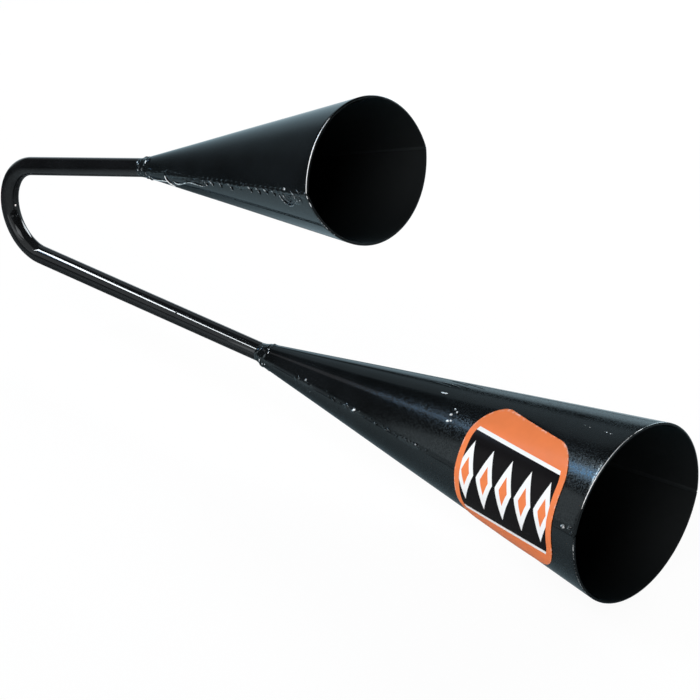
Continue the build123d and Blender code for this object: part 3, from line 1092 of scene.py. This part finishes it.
# World: a dim room, and a pale backdrop low behind the object with the cosines and sines where it fades.
# A glow is azimuth, elevation, the cosines of the angles at which it starts and is full, and its tone
ROOM_TONE = (0.042, 0.04, 0.04, 1)
BACKDROP_TONE = (0.79, 0.843, 0.868, 1)
BACKDROP_AZIMUTH = -165
BACKDROP_SIDES = (0.0, 1.15)
BACKDROP_TOP = (0.25, 0.13)
GLOWS = (
    (-8, 22, 0.719, 0.809, (1.0, 1.0, 1.0, 1)),
    (-120, 30, 0.951, 0.985, (0.40, 0.42, 0.43, 1)),
    (-75.3, 31.2, 0.9954, 0.99966, (0.74, 0.59, 0.55, 1)),
    (-68.7, 37.8, 0.98953, 0.99966, (4.5, 5.1, 5.7, 1)),
    (-68.7, 37.8, 0.99415, 0.99813, (5.7, 11.0, 18.0, 1)),
)

# Lamps: name, azimuth, elevation, distance, width, height, watts, then spin, shape and target if not plain
OBJECT_MIDDLE = Vector((0.10, 0.0, 0.05))
LABEL_PLACE = Vector((0.27, -0.03, 0.0))
LAMPS = (
    ("key", -62.4, 39.6, 4.0, 2.3, 0.18, 48.0, -25.0, "ELLIPSE"),
    ("fill", 20, 45, 1.5, 0.8, 0.8, 7.5),
    ("back", -175, 22, 1.3, 0.7, 0.6, 18.0),
    ("card", -52, 9, 0.47, 0.15, 0.26, 0.2, 0.0, "RECTANGLE", LABEL_PLACE),
)


def direction(azimuth, elevation):
    """Unit vector towards an azimuth, from -Y round to +X, and an elevation."""
    a, e = radians(azimuth), radians(elevation)
    return Vector((sin(a) * cos(e), -cos(a) * cos(e), sin(e)))


def make_camera():
    """Camera at the photograph's angle, with its slight roll."""
    back = direction(CAMERA_AZIMUTH, CAMERA_ELEVATION)
    level = direction(CAMERA_AZIMUTH + 90, 0)
    roll = radians(CAMERA_ROLL)
    right = level * cos(roll) + back.cross(level) * sin(roll)
    up = back.cross(right)
    data = bpy.data.cameras.new("camera")
    data.lens = CAMERA_LENS
    data.clip_start, data.clip_end = CAMERA_CLIP
    camera = add_object("camera", data)
    turn = Matrix((right, up, back)).transposed().to_4x4()
    camera.matrix_world = Matrix.Translation(CAMERA_PLACE) @ turn
    bpy.context.scene.camera = camera


def make_lamp(
    name, azimuth, elevation, distance, width, height, power,
    spin=0.0, shape="RECTANGLE", target=OBJECT_MIDDLE,
):
    """Flat lamp that faces its target and isn't seen itself."""
    data = bpy.data.lights.new(name, "AREA")
    data.shape = shape
    data.size, data.size_y = width, height
    data.energy = power
    towards = direction(azimuth, elevation)
    light = add_object(name, data)
    light.location = target + towards * distance
    light.rotation_mode = "QUATERNION"
    light.rotation_quaternion = towards.to_track_quat("Z", "Y") @ Quaternion((0, 0, 1), radians(spin))
    light.visible_camera = False


def make_floor_paper():
    """Pale paper, lifted towards white where the camera sees it, with painted levels and shade in
    reflections.
    """
    material, nodes = new_material("floor_paper")
    plain = {"Base Color": FLOOR_TONE, "Roughness": FLOOR_ROUGHNESS, "Specular IOR Level": 0.0}
    nodes.feed(nodes.shader, plain)
    paths = nodes.add("LightPath").outputs
    place = nodes.add("SeparateXYZ", {"Vector": nodes.add("TexCoord").outputs["Object"]})
    x, y = place.outputs["X"], place.outputs["Y"]
    # Painted levels of the floor in reflections: a dark fade in front, and painted shade behind and close
    # under it
    front = nodes.math("MULTIPLY", nodes.remap(x, *FRONT_BY_X), nodes.remap(y, *FRONT_BY_Y))
    shade = nodes.remap(nodes.math("ABSOLUTE", nodes.math("SUBTRACT", x, SHADE_MIDDLE_X)), *SHADE_BY_X)
    behind = nodes.blend(nodes.remap(y, *SHADE_FROM_Y), nodes.remap(x, *BEHIND_BY_X), shade)
    level = nodes.blend(nodes.remap(y, *BEHIND_FROM_Y), front, behind)
    painted_close_shade = nodes.remap(paths["Ray Length"], *CLOSE_RAYS, nodes.remap(x, *CLOSE_BY_X), 1.0)
    level = nodes.math("MULTIPLY", level, painted_close_shade)
    white = nodes.add("Emission", {"Color": (1, 1, 1, 1), "Strength": 1.0})
    painted_reflection = nodes.add("Emission", {"Color": PAINTED_REFLECTION_TONE, "Strength": level})
    lift = nodes.math("MULTIPLY", paths["Is Camera Ray"], FLOOR_LIFT)
    seen = nodes.add("MixShader", {0: lift, 1: nodes.shader.outputs[0], 2: white.outputs[0]})
    glossy = nodes.math("MAXIMUM", paths["Is Glossy Ray"], paths["Is Transmission Ray"])
    surface = nodes.add("MixShader", {0: glossy, 1: seen.outputs[0], 2: painted_reflection.outputs[0]})
    nodes.feed(nodes.tree.nodes["Material Output"], {"Surface": surface.outputs[0]})
    return material


def make_floor(height):
    """Round floor, which keeps the object's shadow."""
    turns = round_turns(FLOOR_SIDES)
    points = [(FLOOR_RADIUS * cos(a), FLOOR_RADIUS * sin(a), height) for a in turns]
    mesh = bpy.data.meshes.new("floor")
    mesh.from_pydata(points, [], [list(range(FLOOR_SIDES))])
    mesh.materials.append(make_floor_paper())
    floor = add_object("floor", mesh)


def make_world():
    """Dim room with a pale backdrop low behind the object and soft glows round it."""
    world = bpy.data.worlds.new("studio")
    world.use_nodes = True
    nodes = Nodes(world, "Background")
    ray = nodes.add("TexCoord").outputs["Generated"]

    def towards(azimuth, elevation):
        inputs = {0: ray, 1: direction(azimuth, elevation)}
        return nodes.add("VectorMath", inputs, operation="DOT_PRODUCT").outputs["Value"]

    height = nodes.add("SeparateXYZ", {"Vector": ray}).outputs["Z"]
    behind = nodes.remap(towards(BACKDROP_AZIMUTH, 0), *BACKDROP_SIDES)
    low_behind = nodes.math("MULTIPLY", behind, nodes.remap(height, *BACKDROP_TOP))
    colour = nodes.mix(low_behind, ROOM_TONE, BACKDROP_TONE)
    for azimuth, elevation, start, full, tone in GLOWS:
        share = nodes.remap(towards(azimuth, elevation), start, full)
        colour = nodes.mix(share, colour, tone)
    nodes.feed(nodes.shader, {"Color": colour})
    bpy.context.scene.world = world


make_camera()
make_floor(cad_box[0].z - FLOOR_GAP)
make_world()
for lamp in LAMPS:
    make_lamp(*lamp)
bpy.context.scene.view_settings.view_transform = "Standard"
